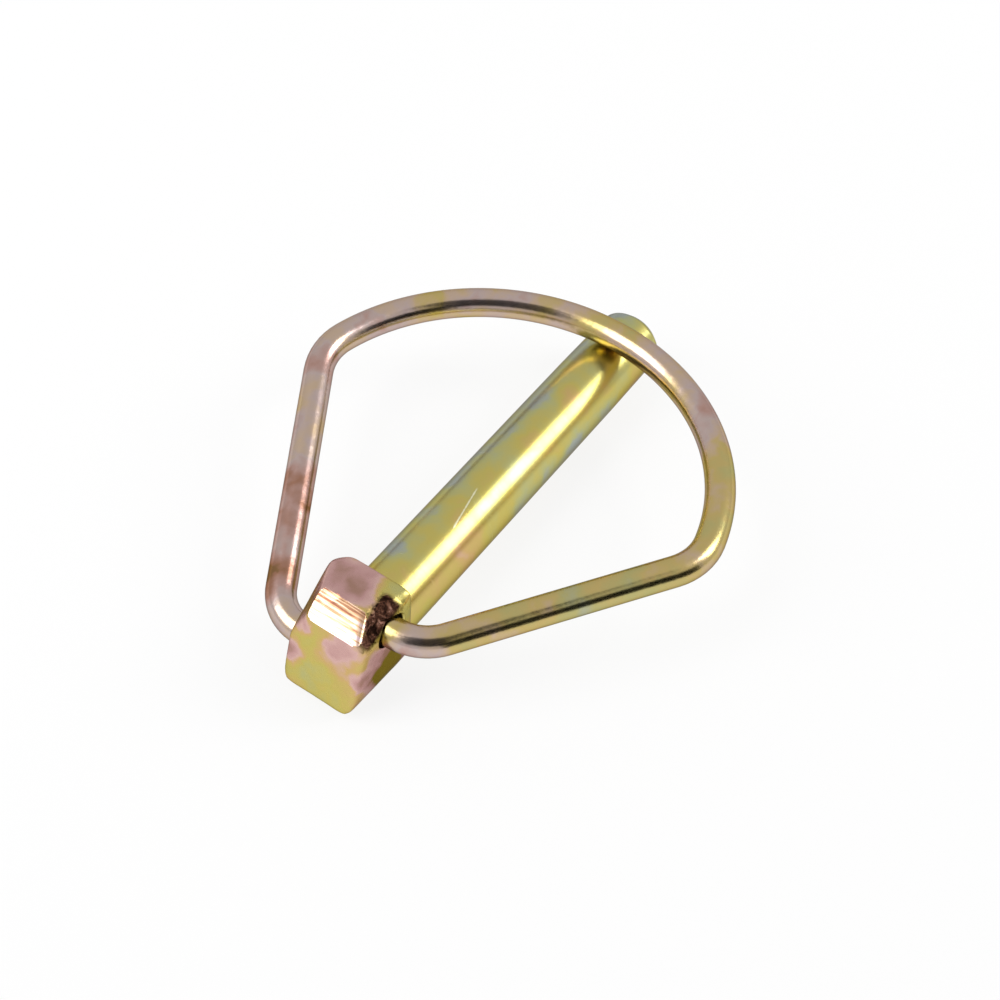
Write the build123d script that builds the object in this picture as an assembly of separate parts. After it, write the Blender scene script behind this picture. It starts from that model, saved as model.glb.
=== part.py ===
from build123d import *

import os
from math import radians, tan

# Lynch pin: a forged pin with a square-shouldered head, and one spring wire bow
# whose two ends turn in blind holes in the head's sides. Sizes are in millimetres.
# X runs along the shank to its tip, Y to the left of the head, Z up when it lies down.
# The origin is on the shank's axis, in the plane of the head's shoulder.

# Shank
shank_diameter = 9.525
shank_length = 60.3
shank_plain_length = 48.0
tip_chamfer = 1.2
tip_lead = 0.12

# Head, as heights over and under the shank's axis
head_length = 11.5
head_front_half_width = 5.46
head_back_half_width = 5.74
head_top = 9.4
head_bottom = -5.5
front_lean_angle = 13.7
foot_chamfer = 1.4
bottom_left_rounding = 2.4
bottom_right_rounding = 3.4
edge_rounding = 1.0
back_rounding = 0.6

# Cut bevel between the end face and the top
bevel_start_height = 7.1
bevel_end_x = -5.8

# Forged flats on the top's long corners: turned from the side toward the end face,
# leaned back from upright, and how far the flat's plane lies from the origin
left_flat_turn_angle = 22.5
left_flat_lean_angle = 28.2
left_flat_reach = 9.4
right_flat_turn_angle = 16.6
right_flat_lean_angle = 51.3
right_flat_reach = 10.3

# Bow
wire_diameter = 4.0
bow_radius = 29.85
bow_half_angle = 76.4
bow_center_x = 22.7
bow_offset_y = -0.8
bow_shank_gap = 0.12
shoulder_reach = 3.6
foot_spread = 9.5
foot_standoff = 0.2
wire_end_chamfer = 0.4

# Holes for the bow's ends: the right one is higher and nearer the shoulder
hole_diameter = 4.9
hole_depth = 4.9
drill_point_angle = 118.0
end_gap = 0.6
right_hole_x = -4.3
right_hole_z = 5.6
left_hole_x = -7.9
left_hole_z = 0.6

RIGHT = -1
LEFT = 1
shank_radius = shank_diameter / 2
wire_radius = wire_diameter / 2
bow_height = shank_radius + bow_shank_gap + wire_radius


def front_x(z):
    """The slanted end face's place along the pin at a height."""
    return -head_length + tan(radians(front_lean_angle)) * z


def half_width(x):
    """Half the head's width, which drafts in from the shoulder to the end face."""
    share = -x / head_length
    return head_back_half_width + (head_front_half_width - head_back_half_width) * share


def make_block():
    """The forging's block: slanted end face, chamfered foot, drafted sides, rounded lower corners."""
    foot_x = front_x(head_bottom)
    outline = Polyline(
        (foot_x + foot_chamfer, head_bottom),
        (front_x(head_bottom + foot_chamfer), head_bottom + foot_chamfer),
        (front_x(head_top), head_top),
        (0, head_top),
        (0, head_bottom),
        close=True,
    )
    plan = Polyline(
        (foot_x, half_width(foot_x)),
        (0, half_width(0)),
        (0, -half_width(0)),
        (foot_x, -half_width(foot_x)),
        close=True,
    )
    block = extrude(Plane.XZ * make_face(outline), head_length, both=True)
    block &= extrude(make_face(plan), head_length, both=True)
    for side, rounding in ((LEFT, bottom_left_rounding), (RIGHT, bottom_right_rounding)):
        underside = block.faces().sort_by(Axis.Z)[0]
        block = fillet(max(underside.edges(), key=lambda edge: edge.center().Y * side), rounding)
    return block


def cut_flat(block, side, turn, lean, reach):
    """The block with a slanting flat cut on one of its top corners."""
    facing = Vector(0, side, 0).rotate(Axis.X, side * lean).rotate(Axis.Z, side * turn)
    plane = Plane(origin=facing * reach, z_dir=facing)
    size = head_length * 3
    return block - extrude(plane * Rectangle(size, size), size)


def cut_bevel(block):
    """The block with the flat cut between its end face and its top, whose edges stay sharp."""
    start = Vector(front_x(bevel_start_height), bevel_start_height)
    end = Vector(bevel_end_x, head_top)
    low = start - (end - start)
    high = end + (end - start)
    waste = Polyline(low, high, (low.X, high.Y), close=True)
    return block - extrude(Plane.XZ * make_face(waste), head_length, both=True)


def make_head():
    """The forged head: flats on the block's top corners, softened edges and the cut bevel."""
    block = cut_flat(make_block(), LEFT, left_flat_turn_angle, left_flat_lean_angle, left_flat_reach)
    block = cut_flat(block, RIGHT, right_flat_turn_angle, right_flat_lean_angle, right_flat_reach)
    shoulder = block.faces().sort_by(Axis.X)[-1]
    block = fillet(block.edges() - shoulder.edges(), edge_rounding)
    shoulder = block.faces().filter_by(GeomType.PLANE).sort_by(Axis.X)[-1]
    return cut_bevel(fillet(shoulder.edges(), back_rounding))


def make_shank():
    """Turned shank, with a slight lead before its chamfered tip."""
    root_x = -head_length / 3
    profile = Polyline(
        (root_x, 0),
        (root_x, shank_radius),
        (shank_plain_length, shank_radius),
        (shank_length - tip_chamfer, shank_radius - tip_lead),
        (shank_length, shank_radius - tip_lead - tip_chamfer),
        (shank_length, 0),
        close=True,
    )
    return revolve(Plane.XZ * make_face(profile), Axis.X)


def make_hole(x, z, turn):
    """A drilled blind hole, from outside the head's side to its drill point."""
    mouth = half_width(x)
    floor = mouth - hole_depth
    radius = hole_diameter / 2
    point = floor - radius / tan(radians(drill_point_angle / 2))
    profile = Polyline(
        (0, point),
        (radius, floor),
        (radius, mouth + radius),
        (0, mouth + radius),
        close=True,
    )
    drill = revolve(make_face(profile), Axis.Y)
    if turn == RIGHT:
        drill = drill.rotate(Axis.Z, 180)
    return Pos(x, 0, z) * drill


def make_pin():
    """Head and shank, one forging, with a hole for each end of the bow."""
    pin = make_head() + make_shank()
    pin -= make_hole(right_hole_x, right_hole_z, RIGHT)
    pin -= make_hole(left_hole_x, left_hole_z, LEFT)
    return pin


def bend(before, corner, after, reach):
    """An arc that rounds a corner of the wire, with its ends at a reach from the corner."""
    toward = (after - corner).normalized()
    back = (before - corner).normalized()
    middle = (toward + back).normalized()
    half_turn = back.get_angle(middle)
    radius = reach * tan(radians(half_turn))
    to_center = (reach**2 + radius**2) ** 0.5
    start = corner + back * reach
    end = corner + toward * reach
    return ThreePointArc(start, corner + middle * (to_center - radius), end)


def make_side(turn, hole_x, hole_z):
    """One half of the bow's line, from the hole out to the end of the round part."""
    arc_end = bow_point(turn * bow_half_angle)
    heading = Vector(0, 0, turn).cross(arc_end - bow_center()).normalized()
    shoulder = arc_end + heading * shoulder_reach
    foot = Vector(hole_x, turn * foot_spread, hole_z)
    end = Vector(hole_x, turn * (half_width(hole_x) - hole_depth + end_gap), hole_z)
    foot_reach = foot_spread - half_width(hole_x) - foot_standoff
    upper = bend(arc_end, shoulder, foot, shoulder_reach)
    lower = bend(shoulder, foot, end, foot_reach)
    return [Line(end, lower @ 1), lower, Line(lower @ 0, upper @ 1), upper]


def bow_center():
    """Centre of the bow's round part."""
    return Vector(bow_center_x, bow_offset_y, bow_height)


def bow_point(angle):
    """A point on the wire's centre line in the round part, at degrees from the pin's axis."""
    return bow_center() + Vector(bow_radius, 0, 0).rotate(Axis.Z, angle)


def make_bow():
    """The wire, from end to end: hole, foot bend, leg, shoulder bend, round part and back."""
    right = make_side(RIGHT, right_hole_x, right_hole_z)
    left = make_side(LEFT, left_hole_x, left_hole_z)
    crown = ThreePointArc(
        bow_point(-bow_half_angle),
        bow_point(0),
        bow_point(bow_half_angle),
    )
    path = Wire([*right, crown, *reversed(left)])
    section = Plane(origin=right[0] @ 0, z_dir=right[0] % 0) * Circle(wire_radius)
    wire = sweep(section, path=path)
    ends = [e for e in wire.edges() if abs(e.center().Y) < head_front_half_width]
    return chamfer(ends, wire_end_chamfer)


if __name__ == "__main__":
    os.makedirs("parts", exist_ok=True)
    export_step(make_pin(), "parts/pin.step")
    export_step(make_bow(), "parts/bow.step")
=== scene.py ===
from math import atan2, cos, pi, radians, sin, tan

import bmesh
import bpy
from mathutils import Euler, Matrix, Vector


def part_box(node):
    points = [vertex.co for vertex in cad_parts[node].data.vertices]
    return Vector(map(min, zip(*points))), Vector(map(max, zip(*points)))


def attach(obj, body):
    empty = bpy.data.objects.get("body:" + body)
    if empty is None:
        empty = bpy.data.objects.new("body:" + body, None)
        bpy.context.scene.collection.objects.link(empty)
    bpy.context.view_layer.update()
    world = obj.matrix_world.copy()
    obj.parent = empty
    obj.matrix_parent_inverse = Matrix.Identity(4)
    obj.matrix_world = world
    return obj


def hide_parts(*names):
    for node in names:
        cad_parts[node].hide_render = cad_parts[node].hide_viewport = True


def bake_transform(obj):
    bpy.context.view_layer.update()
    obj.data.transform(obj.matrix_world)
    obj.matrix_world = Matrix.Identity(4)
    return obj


# A lynch pin: a forged head on a turned shank, and a sprung wire bow whose ends turn in the
# head's two blind holes, all in yellow zinc chromate. Sizes are the real one's, in metres.
# X runs along the shank to its tip, Y to the left of the head, Z up as it lies on the floor.

bl_info = {
    "name": "Lynch Pin",
    "version": (1, 0, 0),
    "blender": (4, 5, 0),
    "location": "3D View > Sidebar > Lynch Pin",
    "description": "Models a lynch pin in yellow zinc chromate on a white studio floor",
    "category": "Add Mesh",
}

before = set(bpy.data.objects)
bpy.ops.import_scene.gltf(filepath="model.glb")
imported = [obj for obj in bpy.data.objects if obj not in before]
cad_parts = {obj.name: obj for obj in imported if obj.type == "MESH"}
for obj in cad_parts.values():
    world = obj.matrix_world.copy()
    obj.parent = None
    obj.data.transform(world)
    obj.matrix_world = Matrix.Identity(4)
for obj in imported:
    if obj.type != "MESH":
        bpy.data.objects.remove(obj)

MM = 0.001
RIGHT = -1
LEFT = 1
PIN_LOW, PIN_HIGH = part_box("pin")

# How far apart two places may lie and still count as one
TOUCH = 0.01 * MM
# How near two points have to lie to be merged
MERGE = 0.002 * MM
# How far a face's middle may lie off the plane that it belongs to
NEAR = 0.05 * MM
# How closely a face has to look in a direction, as a cosine: to be picked as an end, and to lie
# in a plane
FACES = 0.9
LIES_IN = 0.999

# Sides of the round shapes, and the least number of rings round a bend of the wire
SHANK_SIDES = 128
DRILL_SIDES = 72
WIRE_SIDES = 48
BEND_RINGS = 8
# Length of wire between two rings of its mesh at a foot bend, and in the hole and the shoulder bend
FOOT_STEP = 0.3 * MM
FINE_STEP = 0.4 * MM
# How far a drill stands out of the head
DRILL_CLEARANCE = 3 * MM
# The direction that the hammered corner at the top's left back looks in
CORNER_FACING = (0.5, 0.6, 0.62)


def length(name, description, default_mm):
    """A length setting, given in millimetres and kept in metres."""
    return bpy.props.FloatProperty(
        name=name, description=description, default=default_mm * MM, unit="LENGTH", precision=5
    )


def angle(name, description, default_degrees):
    """An angle setting, given in degrees and kept in radians."""
    return bpy.props.FloatProperty(
        name=name, description=description, default=radians(default_degrees), unit="ROTATION"
    )


def hex_color(text):
    """An sRGB hex colour as linear red, green, blue and alpha."""
    channels = [int(text[i : i + 2], 16) / 255 for i in (1, 3, 5)]
    linear = [c / 12.92 if c <= 0.04045 else ((c + 0.055) / 1.055) ** 2.4 for c in channels]
    return (*linear, 1.0)


def color(name, description, default_hex):
    """A colour setting, given as sRGB hex and kept as linear red, green, blue and alpha."""
    return bpy.props.FloatVectorProperty(
        name=name,
        description=description,
        default=hex_color(default_hex),
        size=4,
        min=0.0,
        max=1.0,
        subtype="COLOR",
    )


class LynchPinHead(bpy.types.PropertyGroup):
    """Sizes of the forged head"""

    length: length("Length", "From the shoulder to the end face, on the shank's axis", 11.5)
    front_half_width: length("Front half width", "Half the width at the end face", 5.46)
    back_half_width: length("Back half width", "Half the width at the shoulder", 5.74)
    foot_chamfer: length("Foot chamfer", "Slope between the end face and the underside", 1.4)
    left_rounding: length("Left rounding", "Radius of the lower left corner", 2.4)
    right_rounding: length("Right rounding", "Radius of the lower right corner", 3.4)
    lean: angle("Lean", "How far the end face leans back from upright", 13.7)
    bevel_start: length("Bevel start", "Height where the cut bevel leaves the end face", 7.1)
    bevel_end: length("Bevel end", "How far before the shoulder the cut bevel meets the top", 5.8)
    left_flat_turn: angle("Left flat turn", "Turn of the left flat toward the end face", 22.5)
    left_flat_lean: angle("Left flat lean", "Lean of the left flat from upright", 28.2)
    left_flat_reach: length("Left flat reach", "Distance of the left flat from the origin", 9.4)
    right_flat_turn: angle("Right flat turn", "Turn of the right flat toward the end face", 16.6)
    right_flat_lean: angle("Right flat lean", "Lean of the right flat from upright", 51.3)
    right_flat_reach: length("Right flat reach", "Distance of the right flat from the origin", 10.3)
    corner_depth: length("Corner depth", "How far the top's left back corner is hammered down", 1.5)
    grain: length("Grain", "Spacing of the points that the forging is softened on", 0.22)
    softening: bpy.props.IntProperty(
        name="Softening",
        description="How many times the forging's edges are softened",
        default=44,
        min=0,
    )
    unevenness: length("Unevenness", "Depth of the hollows that the hammer left", 0.09)
    hollow_size: length("Hollow size", "Width of the hollows that the hammer left", 3.4)


class LynchPinShank(bpy.types.PropertyGroup):
    """Sizes of the turned shank and of the holes for the bow"""

    radius: length("Radius", "Half the shank's thickness", 9.525 / 2)
    plain_length: length("Plain length", "From the shoulder to where the lead starts", 48.0)
    tip_lead: length("Tip lead", "How much thinner the shank is where the tip's chamfer starts", 0.12)
    tip_chamfer: length("Tip chamfer", "Length of the chamfer round the tip", 1.2)
    tip_edge: length("Tip edge", "How far the edges of the tip's chamfer are worn off", 0.28)
    hole_radius: length("Hole radius", "Half the holes' width", 2.45)
    hole_depth: length("Hole depth", "Depth of the holes' straight part", 4.9)
    hole_mouth: length("Hole mouth", "Width of the worn edge round the holes", 0.22)
    drill_point: angle("Drill point", "Angle of the cone at the holes' ends", 118.0)
    right_hole_x: length("Right hole x", "Place of the right hole along the pin", -4.3)
    right_hole_z: length("Right hole z", "Height of the right hole", 5.6)
    left_hole_x: length("Left hole x", "Place of the left hole along the pin", -7.9)
    left_hole_z: length("Left hole z", "Height of the left hole", 0.6)


class LynchPinBow(bpy.types.PropertyGroup):
    """Sizes of the wire bow"""

    wire_radius: length("Wire radius", "Half the wire's thickness", 2.0)
    radius: length("Radius", "Radius of the round part's centre line", 29.85)
    half_angle: angle("Half angle", "Angle of the round part on each side of the pin", 76.4)
    center_x: length("Centre x", "Place of the round part's centre along the pin", 22.7)
    center_y: length("Centre y", "Side shift of the round part's centre", -0.8)
    height: length("Height", "Height of the wire's centre line over the shank's axis", 6.8825)
    shoulder_reach: length("Shoulder reach", "Length that each shoulder bend takes", 3.6)
    foot_spread: length("Foot spread", "Distance of the foot bends' corners from the pin's axis", 9.5)
    foot_standoff: length("Foot standoff", "Straight wire between the head and a foot bend", 0.2)
    end_gap: length("End gap", "Room between a wire end and the end of its hole", 0.6)
    end_chamfer: length("End chamfer", "Chamfer of the wire's ends", 0.4)
    step: length("Step", "Length of wire between two rings of its mesh", 0.9)
    flex_start: length("Flex start", "Distance from the pin's axis where the wire starts to twist", 5.2)
    flex_end: length("Flex end", "Distance from the pin's axis where the wire turns fully", 11.0)
    flex_shift: length("Flex shift", "How much nearer the tip the twist ends, to leave the crown out", 1.5)


class LynchPinFilm(bpy.types.PropertyGroup):
    """Colours of the chromate film on the pin, as it thickens; the last is painted reflection of the floor's
    shadow on the head's right side
    """

    grey_green: color("Grey green", "The thinnest film", "#AEB5AC")
    olive: color("Olive", "Thin film", "#BFBE84")
    gold: color("Gold", "The film over most of the pin", "#CDBE6A")
    amber: color("Amber", "The border between gold and pink film", "#D6B478")
    pink: color("Pink", "Thick film", "#DEB6AE")
    mauve: color("Mauve", "Thicker film, in the patches", "#CCA09C")
    brown: color("Brown", "Film near its thickest", "#AA8472")
    # Painted reflection: this dark bronze stands in for the shadowed floor that the head's right side
    # mirrors, not for thicker film
    shadow_reflection_bronze: color("Bronze", "The thickest film", "#8C7C3E")


class LynchPinWireFilm(bpy.types.PropertyGroup):
    """Colours of the greyer chromate film on the drawn wire, as it thickens"""

    grey_green: color("Grey green", "The thinnest film", "#B2B6A0")
    olive: color("Olive", "Thin film", "#BEB67A")
    gold: color("Gold", "The film over most of the wire", "#CBB474")
    sand: color("Sand", "The border between gold and rosy film", "#CDB49A")
    rose_grey: color("Rose grey", "Thick film", "#C6B2AC")
    old_rose: color("Old rose", "Thicker film, in the patches", "#C09C92")
    copper: color("Copper", "Film near its thickest", "#A97C66")
    brown: color("Brown", "The thickest film", "#8E6C4A")


class LynchPinCut(bpy.types.PropertyGroup):
    """Colours of the sheared cut, from its smooth lower part to the streaks near the top"""

    pale_pink: color("Pale pink", "The smooth lower part", "#EBCFD4")
    peach: color("Peach", "Faint streaks", "#E9C8A8")
    copper: color("Copper", "Streaks", "#D0A07A")
    brown: color("Brown", "The deepest streaks", "#9A6652")


class LynchPinLap(bpy.types.PropertyGroup):
    """Colours of the torn lap along the right flat, from its depth to its edges: black and brown are painted
    shade in the tears and painted reflection of the dark studio
    """

    # Painted shade: the black deep in the tears and the brown of their sides stand in for shade and dark
    # reflections
    tear_shade: color("Black", "Deep in the tears", "#22140F")
    brown: color("Brown", "The tears' sides", "#5E3E30")
    fawn: color("Fawn", "The torn edges", "#B48A78")


class LynchPinSteel(bpy.types.PropertyGroup):
    """Colours of the plated steel apart from its film"""

    edge: color("Edge", "Tint of the metal where it is seen at a grazing angle", "#A8A29E")
    scratch: color("Scratch", "Bare plating in the long scratch on the shank", "#F4EFC8")


class LynchPinStage(bpy.types.PropertyGroup):
    """The photograph's viewpoint and the studio's light"""

    location: bpy.props.FloatVectorProperty(
        name="Location",
        description="Where the camera stands",
        default=(-111.27 * MM, -84.73 * MM, 197.11 * MM),
        subtype="TRANSLATION",
        unit="LENGTH",
    )
    rotation: bpy.props.FloatVectorProperty(
        name="Rotation",
        description="How the camera is turned",
        default=(radians(38.750), radians(-2.817), radians(-55.072)),
        subtype="EULER",
        unit="ROTATION",
    )
    lens: bpy.props.FloatProperty(
        name="Lens",
        description="Focal length in millimetres on a 36 mm sensor",
        default=69.33,
        unit="CAMERA",
    )
    sky: bpy.props.FloatProperty(
        name="Sky",
        description="Strength of the white light from all round",
        default=0.7,
    )
    floor_glow: bpy.props.FloatProperty(
        name="Floor glow",
        description="Share of plain white in the floor as the camera and the metal see it",
        default=0.85,
        min=0.0,
        max=1.0,
        subtype="FACTOR",
    )
    floor_size: length("Floor size", "Side of the square floor", 6000)
    paper: color("Paper", "The floor's paper", "#F4F4F4")
    side_flag: color("Side flag", "The card that the right sides mirror", "#050505")
    camera_flag: color("Camera flag", "The card behind the camera that the end face mirrors", "#3A3A3A")


def edit_mode(piece):
    """Edit mode on one piece alone, with all of it selected."""
    if bpy.context.mode != "OBJECT":
        bpy.ops.object.mode_set(mode="OBJECT")
    bpy.ops.object.select_all(action="DESELECT")
    bpy.context.view_layer.objects.active = piece
    piece.select_set(True)
    bpy.ops.object.mode_set(mode="EDIT")
    bpy.ops.mesh.select_all(action="SELECT")


def object_mode():
    """Back to object mode."""
    bpy.ops.object.mode_set(mode="OBJECT")


def pick(piece, kind, test):
    """Selects only the vertices, edges or faces of a piece in edit mode that pass a test."""
    bpy.ops.mesh.select_mode(type={"verts": "VERT", "edges": "EDGE", "faces": "FACE"}[kind])
    bpy.ops.mesh.select_all(action="DESELECT")
    mesh = bmesh.from_edit_mesh(piece.data)
    for item in getattr(mesh, kind):
        if test(item):
            item.select_set(True)
    mesh.select_flush_mode()
    bmesh.update_edit_mesh(piece.data)


def middle_of(edge):
    """The middle of an edge."""
    return (edge.verts[0].co + edge.verts[1].co) / 2


def start_piece(name):
    """Names the primitive that was just added and puts its place into its mesh."""
    piece = bpy.context.object
    piece.name = name
    piece.data.name = name
    bpy.ops.object.transform_apply(location=True, rotation=True, scale=True)
    return piece


def apply_modifier(piece, kind, settings):
    """Adds a modifier with its settings and applies it."""
    bpy.ops.object.select_all(action="DESELECT")
    bpy.context.view_layer.objects.active = piece
    piece.select_set(True)
    modifier = piece.modifiers.new(kind.title(), kind)
    for name, value in settings.items():
        setattr(modifier, name, value)
    bpy.ops.object.modifier_apply(modifier=modifier.name)


def combine(piece, tool, operation):
    """Joins a tool to a piece or cuts it out of it, and deletes the tool."""
    before = len(piece.data.polygons)
    apply_modifier(piece, "BOOLEAN", {"operation": operation, "solver": "MANIFOLD", "object": tool})
    if len(piece.data.polygons) == before:
        raise RuntimeError(f"{tool.name} didn't change {piece.name}: is one of them open?")
    bpy.ops.object.select_all(action="DESELECT")
    tool.select_set(True)
    bpy.ops.object.delete()


def finish_mesh(piece, crease_degrees):
    """Merges doubled points, turns the faces outwards and smooths all but the sharp edges."""
    edit_mode(piece)
    bpy.ops.mesh.remove_doubles(threshold=MERGE)
    bpy.ops.mesh.normals_make_consistent(inside=False)
    object_mode()
    bpy.ops.object.shade_smooth_by_angle(angle=radians(crease_degrees))


def cut_off(point, facing):
    """Cuts away and closes all of the edited mesh that lies beyond a plane."""
    bpy.ops.mesh.select_mode(type="EDGE")
    bpy.ops.mesh.select_all(action="SELECT")
    bpy.ops.mesh.bisect(plane_co=point, plane_no=Vector(facing).normalized(), clear_outer=True)
    bpy.ops.mesh.select_all(action="DESELECT")
    bpy.ops.mesh.select_non_manifold()
    bpy.ops.mesh.edge_face_add()
    bpy.ops.mesh.select_all(action="SELECT")
    bpy.ops.mesh.delete_loose()


def end_face_x(head, z):
    """Where the slanted end face lies along the pin at a height."""
    return -head.length + tan(head.lean) * z


def head_half_width(head, x):
    """Half the head's width at a place along the pin."""
    return head.back_half_width + (head.front_half_width - head.back_half_width) * -x / head.length


def flat_facing(side, turn, lean):
    """The direction that a forged flat on one of the top's corners looks in."""
    return Vector((-sin(turn) * cos(lean), side * cos(turn) * cos(lean), sin(lean)))


def bevel_plane(head):
    """A point on the cut bevel's lower edge and the direction that the bevel looks in."""
    start = Vector((end_face_x(head, head.bevel_start), 0, head.bevel_start))
    return start, Vector((start.z - PIN_HIGH.z, 0, -head.bevel_end - start.x)).normalized()


def hole_place(shank, side):
    """Where a side's hole lies along the pin, and its height."""
    if side == RIGHT:
        return shank.right_hole_x, shank.right_hole_z
    return shank.left_hole_x, shank.left_hole_z


def model_head(head):
    """The forged block: cut to its slopes, softened as by hammering, then given its cut bevel."""
    top, bottom = PIN_HIGH.z, PIN_LOW.z
    foot_x = end_face_x(head, bottom)
    bpy.ops.object.select_all(action="DESELECT")
    bpy.ops.mesh.primitive_cube_add(
        size=1,
        location=(foot_x / 2, 0, (top + bottom) / 2),
        scale=(-foot_x, head.back_half_width * 2, top - bottom),
    )
    piece = start_piece("forged_pin")
    edit_mode(piece)
    cut_off((-head.length, 0, 0), (-cos(head.lean), 0, sin(head.lean)))
    draft = atan2(head.back_half_width - head.front_half_width, head.length)
    for side in (RIGHT, LEFT):
        cut_off((0, side * head.back_half_width, 0), (-sin(draft), side * cos(draft), 0))
    for side, rounding, segments in (
        (LEFT, head.left_rounding, 10),
        (RIGHT, head.right_rounding, 12),
    ):
        pick(
            piece,
            "edges",
            lambda e: abs(middle_of(e).z - bottom) < TOUCH
            and middle_of(e).y * side > head.front_half_width / 2,
        )
        bpy.ops.mesh.bevel(offset=rounding, segments=segments, affect="EDGES")
    low = Vector((foot_x + head.foot_chamfer, 0, bottom))
    high = Vector((end_face_x(head, bottom + head.foot_chamfer), 0, bottom + head.foot_chamfer))
    slope = high - low
    cut_off(low, (-slope.z, 0, slope.x))
    for side, turn, lean, reach in (
        (LEFT, head.left_flat_turn, head.left_flat_lean, head.left_flat_reach),
        (RIGHT, head.right_flat_turn, head.right_flat_lean, head.right_flat_reach),
    ):
        facing = flat_facing(side, turn, lean)
        cut_off(facing * reach, facing)
    facing = Vector(CORNER_FACING).normalized()
    cut_off(Vector((0, head.back_half_width, top)) - facing * head.corner_depth, facing)
    object_mode()
    piece.data.remesh_voxel_size = head.grain
    bpy.ops.object.voxel_remesh()
    edit_mode(piece)
    bpy.ops.mesh.vertices_smooth(factor=0.5, repeat=head.softening)
    object_mode()
    # A middle level of 1 only sinks the surface, so the hollows stay inside the block
    hollows = bpy.data.textures.new("hammered hollows", "CLOUDS")
    hollows.noise_scale = head.hollow_size
    hollows.noise_depth = 1
    apply_modifier(
        piece,
        "DISPLACE",
        {"texture": hollows, "texture_coords": "LOCAL", "strength": head.unevenness, "mid_level": 1.0},
    )
    edit_mode(piece)
    cut_off(*bevel_plane(head))
    object_mode()
    return piece


def model_shank(shank, root_x):
    """The turned shank, a bar with a lead and a softened chamfer at its tip."""
    tip_x = PIN_HIGH.x
    bpy.ops.object.select_all(action="DESELECT")
    bpy.ops.mesh.primitive_cylinder_add(
        vertices=SHANK_SIDES,
        radius=shank.radius,
        depth=tip_x - root_x,
        location=((tip_x + root_x) / 2, 0, 0),
        rotation=(0, radians(90), 0),
    )
    piece = start_piece("shank")
    edit_mode(piece)
    bpy.ops.mesh.bisect(plane_co=(shank.plain_length, 0, 0), plane_no=(1, 0, 0))
    pick(piece, "faces", lambda f: f.normal.x > FACES)
    thinner = (shank.radius - shank.tip_lead) / shank.radius
    bpy.ops.transform.resize(value=(1, thinner, thinner), center_override=(tip_x, 0, 0))
    pick(piece, "edges", lambda e: min(v.co.x for v in e.verts) > tip_x - TOUCH)
    bpy.ops.mesh.bevel(offset=shank.tip_chamfer, offset_type="OFFSET", segments=1, affect="EDGES")
    # The rings at both ends of the chamfer
    pick(
        piece,
        "edges",
        lambda e: min(v.co.x for v in e.verts) > tip_x - shank.tip_chamfer - TOUCH
        and abs(e.verts[0].co.x - e.verts[1].co.x) < TOUCH,
    )
    bpy.ops.mesh.bevel(offset=shank.tip_edge, segments=3, affect="EDGES")
    object_mode()
    return piece


def model_drill(shank, side, mouth):
    """A drill for one side's blind hole, with its point and with a slope at the hole's mouth."""
    x, z = hole_place(shank, side)
    bpy.ops.object.select_all(action="DESELECT")
    bpy.ops.mesh.primitive_cylinder_add(
        vertices=DRILL_SIDES,
        radius=shank.hole_radius,
        depth=shank.hole_depth + DRILL_CLEARANCE,
        location=(x, side * (mouth - shank.hole_depth / 2 + DRILL_CLEARANCE / 2), z),
        rotation=(radians(-90 * side), 0, 0),
    )
    piece = start_piece("drill")
    edit_mode(piece)
    for place in (mouth - shank.hole_mouth, mouth):
        bpy.ops.mesh.select_all(action="SELECT")
        bpy.ops.mesh.bisect(plane_co=(0, side * place, 0), plane_no=(0, side, 0))
    wide = (shank.hole_radius + shank.hole_mouth) / shank.hole_radius
    pick(piece, "verts", lambda v: v.co.y * side > mouth - TOUCH)
    bpy.ops.transform.resize(value=(wide, 1, wide), center_override=(x, side * mouth, z))
    pick(piece, "faces", lambda f: f.normal.y * side < -FACES)
    bpy.ops.mesh.poke(offset=shank.hole_radius / tan(shank.drill_point / 2))
    object_mode()
    return piece


def turn_at(before, corner, after, reach):
    """Centre, axis and angle of the arc that rounds a corner and takes a reach from each leg."""
    back = (before - corner).normalized()
    onward = (after - corner).normalized()
    half = back.angle(onward) / 2
    center = corner + (back + onward).normalized() * (reach / cos(half))
    return center, (-back).cross(onward).normalized(), pi - 2 * half


def extend(vector, step):
    """Extrudes the selected ring along a straight run of wire, in steps."""
    steps = max(1, round(vector.length / step))
    for _ in range(steps):
        bpy.ops.mesh.extrude_edges_move(TRANSFORM_OT_translate={"value": vector / steps})


def swing(center, axis, turn, radius, step):
    """Spins the selected ring round a bend of the wire."""
    steps = max(BEND_RINGS, round(turn * radius / step))
    # The operator turns clockwise round its axis
    bpy.ops.mesh.spin(steps=steps, angle=-turn, center=center, axis=axis)


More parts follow.
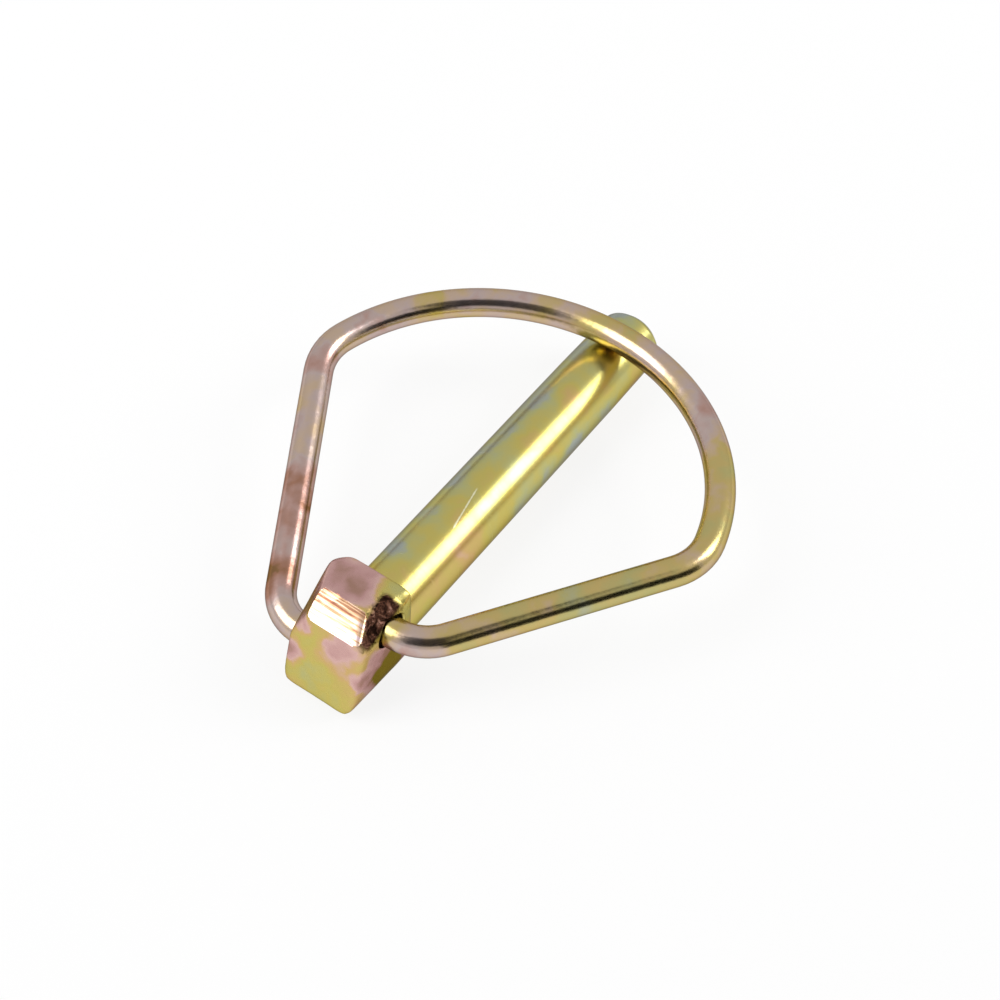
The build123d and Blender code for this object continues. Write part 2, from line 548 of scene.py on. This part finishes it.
def model_bow_half(name, side, bow, head, shank):
    """One half of the wire: from its end in the hole round the foot and shoulder to the crown."""
    hole_x, hole_z = hole_place(shank, side)
    center = Vector((bow.center_x, bow.center_y, bow.height))
    arc_end = center + Vector((cos(bow.half_angle), side * sin(bow.half_angle), 0)) * bow.radius
    heading = Vector((0, 0, side)).cross(arc_end - center).normalized()
    shoulder = arc_end + heading * bow.shoulder_reach
    mouth = head_half_width(head, hole_x)
    foot = Vector((hole_x, side * bow.foot_spread, hole_z))
    end = Vector((hole_x, side * (mouth - shank.hole_depth + bow.end_gap), hole_z))
    foot_reach = bow.foot_spread - mouth - bow.foot_standoff

    bpy.ops.object.select_all(action="DESELECT")
    bpy.ops.mesh.primitive_circle_add(
        vertices=WIRE_SIDES,
        radius=bow.wire_radius - bow.end_chamfer,
        location=end,
        rotation=(radians(90), 0, 0),
    )
    piece = start_piece(name)
    edit_mode(piece)
    wide = bow.wire_radius / (bow.wire_radius - bow.end_chamfer)
    chamfer_step = Vector((0, side * bow.end_chamfer, 0))
    bpy.ops.mesh.extrude_edges_move(TRANSFORM_OT_translate={"value": chamfer_step})
    bpy.ops.transform.resize(value=(wide, 1, wide), center_override=end + chamfer_step)
    to_foot = (foot - end).normalized()
    extend(foot - to_foot * foot_reach - end - chamfer_step, FINE_STEP)
    turn_center, axis, turn = turn_at(end, foot, shoulder, foot_reach)
    swing(turn_center, axis, turn, bow.wire_radius * 2, FOOT_STEP)
    leg = (shoulder - foot).normalized()
    extend(shoulder - leg * bow.shoulder_reach - foot - leg * foot_reach, bow.step)
    turn_center, axis, turn = turn_at(foot, shoulder, arc_end, bow.shoulder_reach)
    swing(turn_center, axis, turn, bow.wire_radius * 2, FINE_STEP)
    swing(center, Vector((0, 0, -side)), bow.half_angle, bow.radius, bow.step)
    for place in (center.y, end.y):
        pick(piece, "edges", lambda e: max(abs(v.co.y - place) for v in e.verts) < TOUCH)
        bpy.ops.mesh.edge_face_add()
    object_mode()
    return piece


def add_node(tree, kind, settings=None, links=None):
    """Adds a node, sets its attributes and sockets, and links its inputs."""
    node = tree.nodes.new(kind)
    for name, value in (settings or {}).items():
        if isinstance(name, int) or name in node.inputs:
            node.inputs[name].default_value = value
        else:
            setattr(node, name, value)
    for name, source in (links or {}).items():
        tree.links.new(source, node.inputs[name])
    return node


def new_material(name):
    """An empty node material, its tree and its output node."""
    material = bpy.data.materials.new(name)
    material.use_nodes = True
    material.node_tree.nodes.clear()
    output = add_node(material.node_tree, "ShaderNodeOutputMaterial")
    return material, material.node_tree, output


def color_stops(ramp, colors, places):
    """Sets a colour ramp's stops to the colours of a settings group, in order, each at its place."""
    elements = ramp.color_ramp.elements
    while len(elements) < len(places):
        elements.new(0.5)
    for element, place, name in zip(elements, places, type(colors).__annotations__):
        element.position = place
        element.color = getattr(colors, name)


# Size in millimetres of the film's slow drift
DRIFT_SIZE = 5.0
# Size in millimetres of the noise that frays the patches' borders, and how far it shifts them
WANDER_SIZE = 2.6
WANDER = 3.0 * MM
# Film level of each colour in the settings: on the pin and on the drawn wire
FILM_PLACES = (0.00, 0.16, 0.34, 0.50, 0.62, 0.78, 0.92, 1.00)
WIRE_FILM_PLACES = (0.00, 0.20, 0.38, 0.52, 0.66, 0.80, 0.94, 1.00)
# Places of the cut's and the lap's colours in the range of their streaks and tears
CUT_PLACES = (0.44, 0.55, 0.64, 0.72)
LAP_PLACES = (0.44, 0.54, 0.7)

# Patches of thicker or thinner film, and some of painted reflection: centre and radius in millimetres,
# and the change of level there. The top is pink, and golden at its right back. The end face has mauve
# spots round a grey green middle. The right side goes brown below: painted reflection of the shadowed
# floor that it mirrors.
HEAD_FILM_AND_REFLECTION_PATCHES = (
    ((-3.0, 1.4, 9.8), 7.6, 0.5),
    ((-1.9, -3.0, 9.4), 3.2, -0.26),
    ((-10.1, -2.4, 5.4), 5.0, 0.34),
    ((-10.6, 4.4, 5.8), 3.2, 0.4),
    ((-11.4, 5.0, 0.8), 3.2, 0.5),
    ((-10.9, -5.9, 1.6), 2.6, 0.3),
    ((-11.6, 1.4, -0.3), 3.4, -0.14),
    # Painted reflection: the head's right side goes dark brown below, standing in for the shadowed floor
    # that it mirrors
    ((-5.0, -7.0, -1.2), 8.4, 0.8),
)
# The shank has a grey green band along its upper left and another low on its right, both painted
# reflection of the grey studio that the bar mirrors there, and a pale tip
SHANK_FILM_AND_REFLECTION_PATCHES = (
    *(((x, 3.6, 4.3), 4.9, -0.27) for x in range(8, 54, 6)),
    *(((x, -5.2, -0.6), 4.6, -0.26) for x in range(26, 50, 6)),
    ((60.3, 1.5, 2.0), 7.0, -0.45),
    ((14.0, -4.6, 2.0), 7.0, 0.1),
)
# The wire is rosy along its left, on both sides of the crown and at the right foot bend, and
# greyer along its right
WIRE_PATCHES = (
    ((0.0, 17.0, 4.0), 22.0, 0.46),
    ((28.0, 27.0, 6.8), 20.0, 0.34),
    ((46.0, 12.0, 7.6), 14.0, 0.24),
    ((48.0, -14.0, 7.8), 16.0, 0.22),
    ((-4.0, -10.0, 4.6), 6.0, 0.3),
    ((12.0, -24.0, 6.4), 9.0, -0.16),
)
# Two lines of torn skin on the right flat and the long scratch on the shank: ends and radius,
# in millimetres
# The torn skin's lines are painted dark, as shade in the tears and as reflection of the dark studio
LOW_LAP = ((-9.6, -5.0, 7.3), (-1.9, -4.7, 9.1), 1.5)
HIGH_LAP = ((-8.2, -4.0, 8.2), (-2.0, -3.9, 9.5), 1.2)
SCRATCH = ((20.9, -0.5, 4.74), (13.4, -1.8, 4.41), 0.14)


def film_and_reflection_level(tree, where, base, drift, patches):
    """How thick the film is, from 0 to 1: a base, a slow drift and patches with frayed borders, some of
    which paint reflection rather than film.
    """
    wander = add_node(
        tree,
        "ShaderNodeTexNoise",
        {"Scale": 1 / (WANDER_SIZE * MM), "Detail": 3.0, "Roughness": 0.55},
        {"Vector": where},
    )
    moved = add_node(
        tree,
        "ShaderNodeVectorMath",
        {"operation": "MULTIPLY_ADD", 1: (WANDER,) * 3, 2: (-WANDER / 2,) * 3},
        {0: wander.outputs["Color"]},
    )
    loose = add_node(
        tree,
        "ShaderNodeVectorMath",
        {"operation": "ADD"},
        {0: where, 1: moved.outputs["Vector"]},
    ).outputs["Vector"]
    slow = add_node(
        tree,
        "ShaderNodeTexNoise",
        {"Scale": 1 / (DRIFT_SIZE * MM), "Detail": 2.0, "Roughness": 0.5},
        {"Vector": loose},
    )
    # The noise keeps mostly between 0.3 and 0.7
    level = add_node(
        tree,
        "ShaderNodeMapRange",
        {"From Min": 0.3, "From Max": 0.7, "To Min": base - drift, "To Max": base + drift, "clamp": False},
        {"Value": slow.outputs["Fac"]},
    ).outputs["Result"]
    for center, radius, change in patches:
        away = add_node(
            tree,
            "ShaderNodeVectorMath",
            {"operation": "DISTANCE", 1: Vector(center) * MM},
            {0: loose},
        ).outputs["Value"]
        near = add_node(
            tree,
            "ShaderNodeMapRange",
            {
                "interpolation_type": "SMOOTHSTEP",
                "From Min": radius * MM,
                "From Max": radius * MM * 0.2,
                "To Min": 0.0,
                "To Max": change,
            },
            {"Value": away},
        ).outputs["Result"]
        level = add_node(tree, "ShaderNodeMath", {"operation": "ADD"}, {0: level, 1: near}).outputs["Value"]
    return level


def near_line(tree, where, line, ragged):
    """A mask that is 1 along a line and fades out at its radius, with a border that a noise frays."""
    start, end, radius = Vector(line[0]) * MM, Vector(line[1]) * MM, line[2] * MM
    half_length = (end - start).length / 2
    run = (end - start).normalized()
    offset = add_node(
        tree,
        "ShaderNodeVectorMath",
        {"operation": "SUBTRACT", 1: (start + end) / 2},
        {0: where},
    ).outputs["Vector"]
    along = add_node(
        tree,
        "ShaderNodeVectorMath",
        {"operation": "DOT_PRODUCT", 1: run},
        {0: offset},
    ).outputs["Value"]
    onward = add_node(
        tree,
        "ShaderNodeVectorMath",
        {"operation": "SCALE", 0: run},
        {"Scale": along},
    ).outputs["Vector"]
    away = add_node(
        tree,
        "ShaderNodeVectorMath",
        {"operation": "DISTANCE"},
        {0: offset, 1: onward},
    ).outputs["Value"]
    # The noise is about a half, so it adds about 0.8 of the radius to the distance
    frayed = add_node(
        tree,
        "ShaderNodeMath",
        {"operation": "MULTIPLY_ADD", 1: radius * 1.6},
        {0: ragged, 2: away},
    ).outputs["Value"]
    band = add_node(
        tree,
        "ShaderNodeMapRange",
        {"interpolation_type": "SMOOTHSTEP", "From Min": radius * 1.8, "From Max": radius * 1.2},
        {"Value": frayed},
    ).outputs["Result"]
    beyond = add_node(tree, "ShaderNodeMath", {"operation": "ABSOLUTE"}, {0: along}).outputs["Value"]
    inside = add_node(
        tree,
        "ShaderNodeMapRange",
        {"interpolation_type": "SMOOTHSTEP", "From Min": half_length, "From Max": half_length * 0.8},
        {"Value": beyond},
    ).outputs["Result"]
    return add_node(tree, "ShaderNodeMath", {"operation": "MULTIPLY"}, {0: band, 1: inside}).outputs["Value"]


def forged_surface(tree, where, scene):
    """Forged steel: a scaly skin gives a soft, slightly broken shine, and its lap is dull, painted dark as
    shade in its tears and as reflection of the dark studio.
    """
    # Painted reflection: the head's patches darken its right side to stand in for the shadowed floor that it
    # mirrors
    level = film_and_reflection_level(tree, where, base=0.32, drift=0.13, patches=HEAD_FILM_AND_REFLECTION_PATCHES)
    film = add_node(tree, "ShaderNodeValToRGB", {}, {"Fac": level})
    color_stops(film, scene.lynch_pin_film, FILM_PLACES)
    pits = add_node(
        tree,
        "ShaderNodeTexNoise",
        {"Scale": 1 / (0.9 * MM), "Detail": 5.0, "Roughness": 0.6},
        {"Vector": where},
    ).outputs["Fac"]
    torn = add_node(
        tree,
        "ShaderNodeTexNoise",
        {"Scale": 1 / (1.1 * MM), "Detail": 6.0, "Roughness": 0.72, "Distortion": 0.8},
        {"Vector": where},
    ).outputs["Fac"]
    lap = add_node(
        tree,
        "ShaderNodeMath",
        {"operation": "MAXIMUM"},
        {0: near_line(tree, where, LOW_LAP, torn), 1: near_line(tree, where, HIGH_LAP, torn)},
    ).outputs["Value"]
    # Painted shade: the lap's black and brown stand in for shade in the tears and for dark reflections
    scale = add_node(tree, "ShaderNodeValToRGB", {}, {"Fac": torn})
    color_stops(scale, scene.lynch_pin_lap, LAP_PLACES)
    skin = add_node(
        tree,
        "ShaderNodeMix",
        {"data_type": "RGBA"},
        {0: lap, 6: film.outputs["Color"], 7: scale.outputs["Color"]},
    ).outputs[2]
    gloss = add_node(
        tree,
        "ShaderNodeMapRange",
        {"To Min": 0.21, "To Max": 0.35},
        {"Value": pits},
    ).outputs["Result"]
    # The lap's tears are five times as deep as the pits
    deep = add_node(tree, "ShaderNodeMath", {"operation": "MULTIPLY", 1: 5.0}, {0: lap}).outputs["Value"]
    tears = add_node(tree, "ShaderNodeMath", {"operation": "MULTIPLY"}, {0: deep, 1: torn}).outputs["Value"]
    height = add_node(tree, "ShaderNodeMath", {"operation": "ADD"}, {0: pits, 1: tears}).outputs["Value"]
    return skin, gloss, height, 0.05 * MM


def turned_surface(tree, where, scene):
    """Turned steel: faint rings round the bar stretch its highlights, and one long scratch is bright.

    The rings of the real lathe are too fine to show, so they are drawn 0.35 mm apart.
    """
    # Painted reflection: the shank's grey green bands stand in for the grey studio that the bar mirrors
    level = film_and_reflection_level(tree, where, base=0.33, drift=0.12, patches=SHANK_FILM_AND_REFLECTION_PATCHES)
    film = add_node(tree, "ShaderNodeValToRGB", {}, {"Fac": level})
    color_stops(film, scene.lynch_pin_film, FILM_PLACES)
    rings = add_node(
        tree,
        "ShaderNodeMapping",
        {"Scale": (1 / (0.35 * MM), 1 / (9 * MM), 1 / (9 * MM))},
        {"Vector": where},
    ).outputs["Vector"]
    marks = add_node(
        tree,
        "ShaderNodeTexNoise",
        {"Scale": 1.0, "Detail": 3.0, "Roughness": 0.6},
        {"Vector": rings},
    ).outputs["Fac"]
    gloss = add_node(
        tree,
        "ShaderNodeMapRange",
        {"To Min": 0.21, "To Max": 0.3},
        {"Value": marks},
    ).outputs["Result"]
    skin = add_node(
        tree,
        "ShaderNodeMix",
        {"data_type": "RGBA", 7: scene.lynch_pin_steel.scratch},
        {0: near_line(tree, where, SCRATCH, marks), 6: film.outputs["Color"]},
    ).outputs[2]
    return skin, gloss, marks, 0.012 * MM


def sheared_surface(tree, where, scene):
    """Sheared steel: straight streaks from one side of the head to the other, coppery near the top."""
    streaks = add_node(
        tree,
        "ShaderNodeMapping",
        {"Scale": (1 / (0.3 * MM), 1 / (9 * MM), 1 / (0.3 * MM))},
        {"Vector": where},
    ).outputs["Vector"]
    marks = add_node(
        tree,
        "ShaderNodeTexNoise",
        {"Scale": 1.0, "Detail": 3.0, "Roughness": 0.65},
        {"Vector": streaks},
    ).outputs["Fac"]
    height = add_node(tree, "ShaderNodeSeparateXYZ", {}, {0: where}).outputs["Z"]
    upper = add_node(
        tree,
        "ShaderNodeMapRange",
        {"From Min": 7.9 * MM, "From Max": 8.7 * MM, "To Max": 0.16},
        {"Value": height},
    ).outputs["Result"]
    tone = add_node(tree, "ShaderNodeMath", {"operation": "ADD"}, {0: marks, 1: upper}).outputs["Value"]
    streaked = add_node(tree, "ShaderNodeValToRGB", {}, {"Fac": tone})
    color_stops(streaked, scene.lynch_pin_cut, CUT_PLACES)
    gloss = add_node(
        tree,
        "ShaderNodeMapRange",
        {"To Min": 0.25, "To Max": 0.4},
        {"Value": marks},
    ).outputs["Result"]
    return streaked.outputs["Color"], gloss, marks, 0.04 * MM


def drawn_surface(tree, where, scene):
    """Drawn wire: smooth and bright, with soft dents from the bending tools and a faint orange peel."""
    level = film_and_reflection_level(tree, where, base=0.36, drift=0.18, patches=WIRE_PATCHES)
    film = add_node(tree, "ShaderNodeValToRGB", {}, {"Fac": level})
    color_stops(film, scene.lynch_pin_wire_film, WIRE_FILM_PLACES)
    peel = add_node(
        tree,
        "ShaderNodeTexNoise",
        {"Scale": 1 / (1.6 * MM), "Detail": 3.0, "Roughness": 0.5},
        {"Vector": where},
    ).outputs["Fac"]
    gloss = add_node(
        tree,
        "ShaderNodeMapRange",
        {"To Min": 0.18, "To Max": 0.27},
        {"Value": peel},
    ).outputs["Result"]
    return film.outputs["Color"], gloss, peel, 0.03 * MM


def chromate(name, surface, scene):
    """Yellow zinc chromate on steel: bright metal under a film whose colour drifts with its thickness.

    surface adds the nodes of one kind of surface, and returns its colour, roughness and height
    outputs and the depth of its relief.
    """
    material, tree, output = new_material(name)
    where = add_node(tree, "ShaderNodeTexCoord").outputs["Object"]
    skin, gloss, height, depth = surface(tree, where, scene)
    bump = add_node(tree, "ShaderNodeBump", {"Strength": 1.0, "Distance": depth}, {"Height": height})
    metal = add_node(
        tree,
        "ShaderNodeBsdfPrincipled",
        {"Metallic": 1.0, "Specular Tint": scene.lynch_pin_steel.edge},
        {"Base Color": skin, "Roughness": gloss, "Normal": bump.outputs["Normal"]},
    )
    tree.links.new(metal.outputs["BSDF"], output.inputs["Surface"])
    return material


class LYNCHPIN_OT_pin(bpy.types.Operator):
    """Models the forged head and turned shank, drills the head and plates the whole"""

    bl_idname = "lynch_pin.pin"
    bl_label = "Forged Pin"

    def execute(self, context):
        scene = context.scene
        head = scene.lynch_pin_head
        shank = scene.lynch_pin_shank
        piece = model_head(head)
        combine(piece, model_shank(shank, -head.length / 3), "UNION")
        for side in (RIGHT, LEFT):
            mouth = head_half_width(head, hole_place(shank, side)[0])
            combine(piece, model_drill(shank, side, mouth), "DIFFERENCE")
        finish_mesh(piece, crease_degrees=32)
        forged, turned, sheared = range(3)
        piece.data.materials.clear()
        for name, surface in (
            ("yellow zinc chromate on forged steel", forged_surface),
            ("yellow zinc chromate on a turned shank", turned_surface),
            ("yellow zinc chromate on a sheared cut", sheared_surface),
        ):
            piece.data.materials.append(chromate(name, surface, scene))
        start, facing = bevel_plane(head)
        for face in piece.data.polygons:
            on_cut = abs((face.center - start).dot(facing)) < NEAR and face.normal.dot(facing) > LIES_IN
            if face.center.x > NEAR:
                face.material_index = turned
            elif on_cut:
                face.material_index = sheared
            else:
                face.material_index = forged
        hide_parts("pin")
        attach(piece, "pin")
        return {"FINISHED"}


class LYNCHPIN_OT_bow(bpy.types.Operator):
    """Models the wire bow in two halves that meet unseen at its crown"""

    bl_idname = "lynch_pin.bow"
    bl_label = "Wire Bow"

    def execute(self, context):
        scene = context.scene
        bow = scene.lynch_pin_bow
        wire = chromate("yellow zinc chromate on drawn spring wire", drawn_surface, scene)
        for name, side in (("bow_right", RIGHT), ("bow_left", LEFT)):
            piece = model_bow_half(name, side, bow, scene.lynch_pin_head, scene.lynch_pin_shank)
            finish_mesh(piece, crease_degrees=40)
            piece.data.materials.append(wire)
            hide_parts("bow")
            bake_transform(piece)
        return {"FINISHED"}


def facing_middle(azimuth, elevation, distance):
    """A place round the part's middle, at angles in degrees, and the turn that looks back at it."""
    a, e = radians(azimuth), radians(elevation)
    way = Vector((cos(a) * cos(e), sin(a) * cos(e), sin(e)))
    return (PIN_LOW + PIN_HIGH) / 2 + way * distance, way.to_track_quat("Z", "Y").to_euler()


def add_soft_box(name, azimuth, elevation, distance, size, power):
    """A rectangular soft box that looks at the part."""
    data = bpy.data.lights.new(name, "AREA")
    data.shape = "RECTANGLE"
    data.size, data.size_y = size
    data.energy = power
    lamp = bpy.data.objects.new(name, data)
    bpy.context.scene.collection.objects.link(lamp)
    lamp.location, lamp.rotation_euler = facing_middle(azimuth, elevation, distance)


def add_flag(name, azimuth, elevation, distance, size, tone):
    """A card that the metal mirrors as a dark shape, and that the camera looks through."""
    place, turn = facing_middle(azimuth, elevation, distance)
    bpy.ops.object.select_all(action="DESELECT")
    bpy.ops.mesh.primitive_plane_add(size=size, location=place, rotation=turn)
    card = bpy.context.object
    card.name = name
    material, tree, output = new_material(name)
    paint = add_node(tree, "ShaderNodeBsdfDiffuse", {"Color": tone})
    tree.links.new(paint.outputs["BSDF"], output.inputs["Surface"])
    card.data.materials.append(material)
    card.visible_camera = False


def paper_sweep(paper, floor_glow):
    """White paper: plain and matt, keeps the soft shadow, and is white to the camera and the metal."""
    material, tree, output = new_material("white paper sweep")
    matt = add_node(tree, "ShaderNodeBsdfDiffuse", {"Color": paper})
    glow = add_node(tree, "ShaderNodeEmission", {"Strength": 1.0})
    path = add_node(tree, "ShaderNodeLightPath")
    seen = path.outputs["Is Camera Ray"]
    for ray in ("Is Glossy Ray", "Is Transmission Ray"):
        seen = add_node(
            tree,
            "ShaderNodeMath",
            {"operation": "MAXIMUM"},
            {0: seen, 1: path.outputs[ray]},
        ).outputs["Value"]
    share = add_node(tree, "ShaderNodeMath", {"operation": "MULTIPLY", 1: floor_glow}, {0: seen})
    mixed = add_node(
        tree,
        "ShaderNodeMixShader",
        {},
        {0: share.outputs["Value"], 1: matt.outputs["BSDF"], 2: glow.outputs["Emission"]},
    )
    tree.links.new(mixed.outputs["Shader"], output.inputs["Surface"])
    return material


class LYNCHPIN_OT_stage(bpy.types.Operator):
    """Adds the floor, the studio light and the camera"""

    bl_idname = "lynch_pin.stage"
    bl_label = "Stage"

    def execute(self, context):
        scene = context.scene
        stage = scene.lynch_pin_stage
        data = bpy.data.cameras.new("camera")
        data.lens = stage.lens
        data.clip_start = 0.01
        camera = bpy.data.objects.new("camera", data)
        scene.collection.objects.link(camera)
        camera.location = stage.location
        camera.rotation_euler = Euler(stage.rotation)
        scene.camera = camera

        bpy.ops.object.select_all(action="DESELECT")
        bpy.ops.mesh.primitive_plane_add(size=stage.floor_size, location=(0, 0, PIN_LOW.z))
        floor = bpy.context.object
        floor.name = "floor"
        floor.data.materials.append(paper_sweep(stage.paper, stage.floor_glow))

        world = bpy.data.worlds.new("studio")
        world.use_nodes = True
        sky = world.node_tree.nodes["Background"]
        sky.inputs["Color"].default_value = (1, 1, 1, 1)
        sky.inputs["Strength"].default_value = stage.sky
        scene.world = world

        add_soft_box("key box", azimuth=-48, elevation=37, distance=0.7, size=(0.28, 0.36), power=1.8)
        add_soft_box("rim box", azimuth=141, elevation=44, distance=0.7, size=(0.44, 0.58), power=2.8)
        add_flag("side flag", azimuth=-104, elevation=12, distance=0.5, size=0.42, tone=stage.side_flag)
        add_flag("camera flag", azimuth=-150, elevation=48, distance=0.5, size=0.5, tone=stage.camera_flag)
        return {"FINISHED"}


class VIEW3D_PT_lynch_pin(bpy.types.Panel):
    """Lists the pieces, the stage and their settings"""

    bl_label = "Lynch Pin"
    bl_space_type = "VIEW_3D"
    bl_region_type = "UI"
    bl_category = "Lynch Pin"

    def draw(self, context):
        for operator in OPERATORS:
            self.layout.operator(operator.bl_idname)
        for group, kind in GROUPS.items():
            for name in kind.__annotations__:
                self.layout.prop(getattr(context.scene, group), name)


GROUPS = {
    "lynch_pin_head": LynchPinHead,
    "lynch_pin_shank": LynchPinShank,
    "lynch_pin_bow": LynchPinBow,
    "lynch_pin_film": LynchPinFilm,
    "lynch_pin_wire_film": LynchPinWireFilm,
    "lynch_pin_cut": LynchPinCut,
    "lynch_pin_lap": LynchPinLap,
    "lynch_pin_steel": LynchPinSteel,
    "lynch_pin_stage": LynchPinStage,
}
OPERATORS = (LYNCHPIN_OT_pin, LYNCHPIN_OT_bow, LYNCHPIN_OT_stage)
CLASSES = (*GROUPS.values(), *OPERATORS, VIEW3D_PT_lynch_pin)


def register():
    """Adds the settings, the operators and the panel."""
    for kind in CLASSES:
        bpy.utils.register_class(kind)
    for name, kind in GROUPS.items():
        setattr(bpy.types.Scene, name, bpy.props.PointerProperty(type=kind))


def unregister():
    """Removes what register added."""
    for name in GROUPS:
        delattr(bpy.types.Scene, name)
    for kind in reversed(CLASSES):
        bpy.utils.unregister_class(kind)


def main():
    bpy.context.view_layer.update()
    register()
    bpy.ops.lynch_pin.pin()
    bpy.ops.lynch_pin.bow()
    bpy.ops.lynch_pin.stage()
    bpy.context.scene.view_settings.view_transform = "Standard"


if __name__ == "__main__":
    main()
